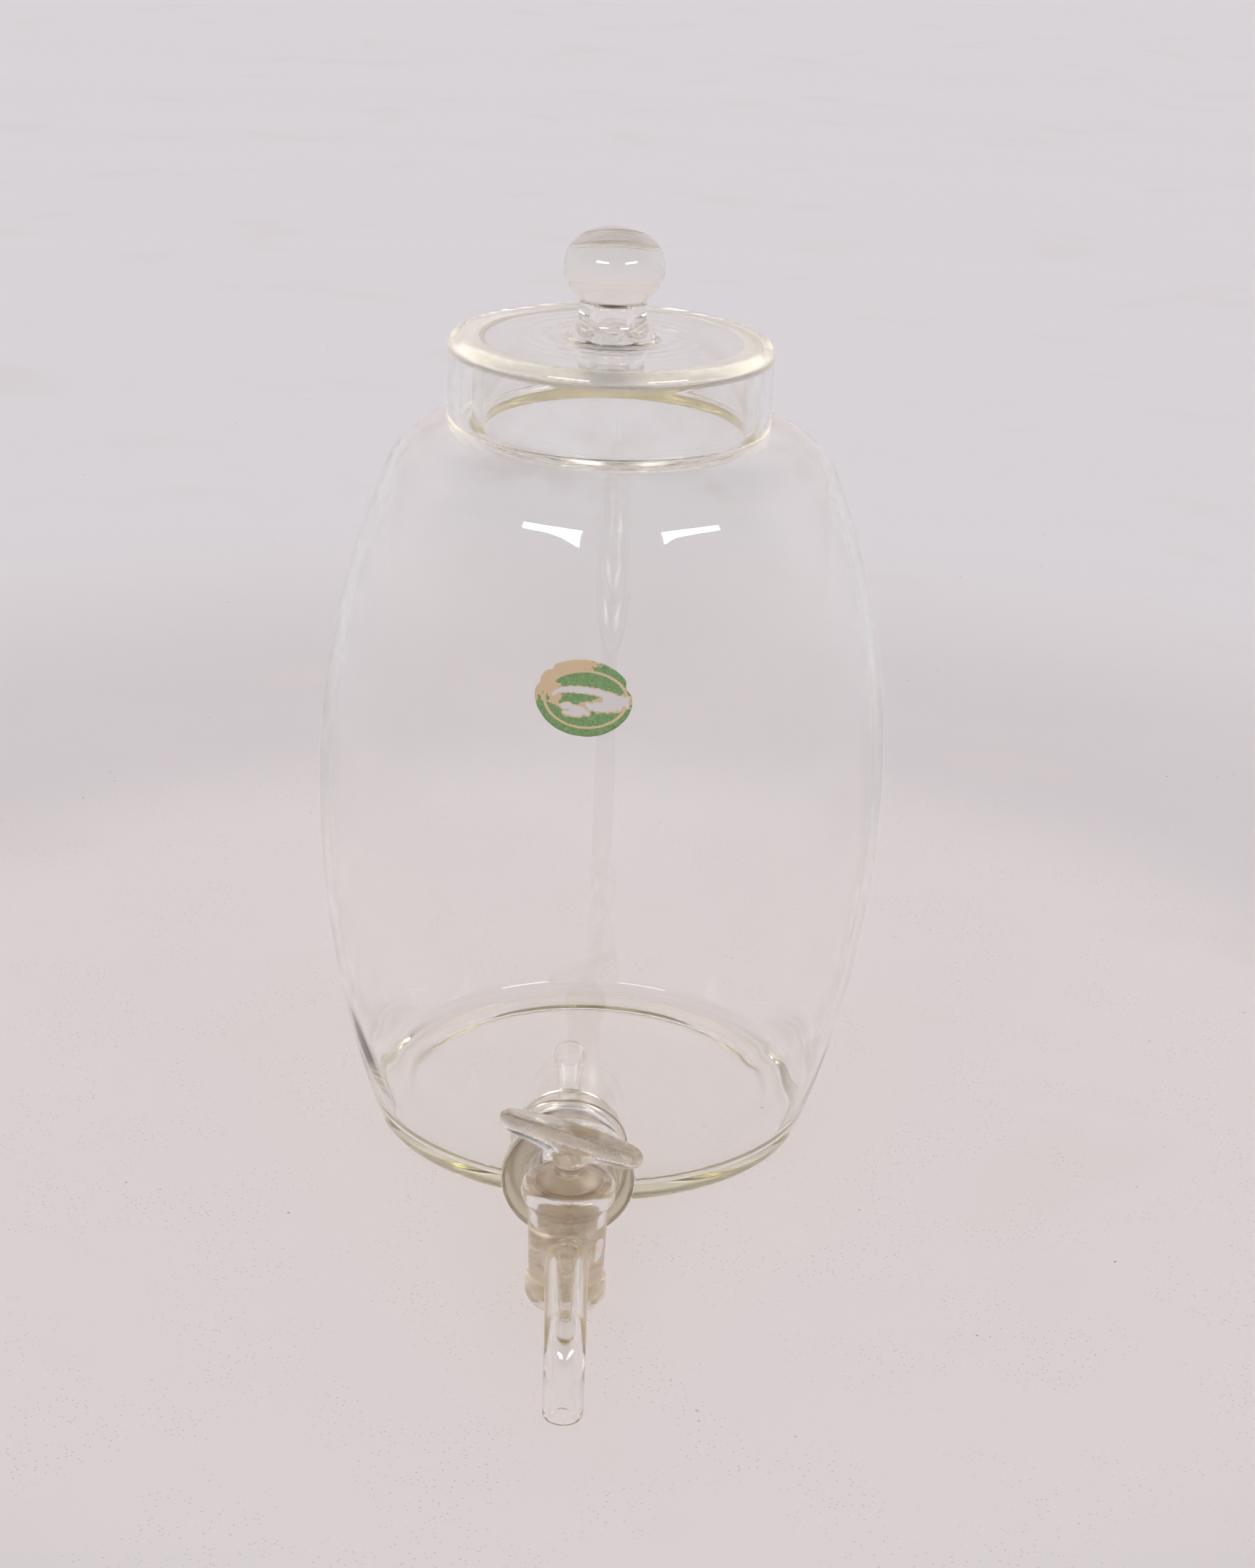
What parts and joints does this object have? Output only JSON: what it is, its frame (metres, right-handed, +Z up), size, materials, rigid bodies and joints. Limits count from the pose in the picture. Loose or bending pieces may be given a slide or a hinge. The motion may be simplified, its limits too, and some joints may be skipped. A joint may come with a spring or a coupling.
{
  "type": "glass specimen jar with stopcock",
  "caption": "Bellied clear glass jar with a loose knobbed lid, a ground side socket near the base and a T-key stopcock that drains it.",
  "frame": {"origin": "on the jar's axis, in the plane of the base that it stands on", "axes": "+Z up along the jar's axis; -Y towards the place where the side socket's axis passes through the wall"},
  "size_m": [0.2358, 0.3737, 0.3827],
  "materials": {
    "clear_glass": "clear blown soda glass, faintly yellow-green in the thick",
    "ground_glass": "finely ground, greased",
    "label_paper": "aged matt paper"
  },
  "bodies": {
    "jar": {"jar_body": "clear_glass", "jar_neck": "clear_glass", "side_socket": "ground_glass", "paper_label": "label_paper"},
    "lid": {"lid_cover": "clear_glass", "lid_knob": "clear_glass"},
    "stopcock": {"ground_cone": "ground_glass", "draw_tube": "clear_glass", "side_arm": "clear_glass", "barrel": "clear_glass", "spout": "clear_glass"},
    "key": {"key_plug": "ground_glass", "key_handle": "clear_glass"}
  },
  "joints": [
    {"name": "lid_lift", "type": "slide", "parent": "jar", "child": "lid", "axis": [0, 0, 1], "range_m": [0, 0.12]},
    {"name": "stopcock_pull", "type": "slide", "parent": "jar", "child": "stopcock", "axis": [0.0872, -0.9962, 0], "range_m": [0, 0.13]},
    {"name": "key_turn", "type": "hinge", "parent": "stopcock", "child": "key", "pos_m": [0.00635, -0.17472, 0.031], "axis": [0, 0, 1], "continuous": true}
  ]
}
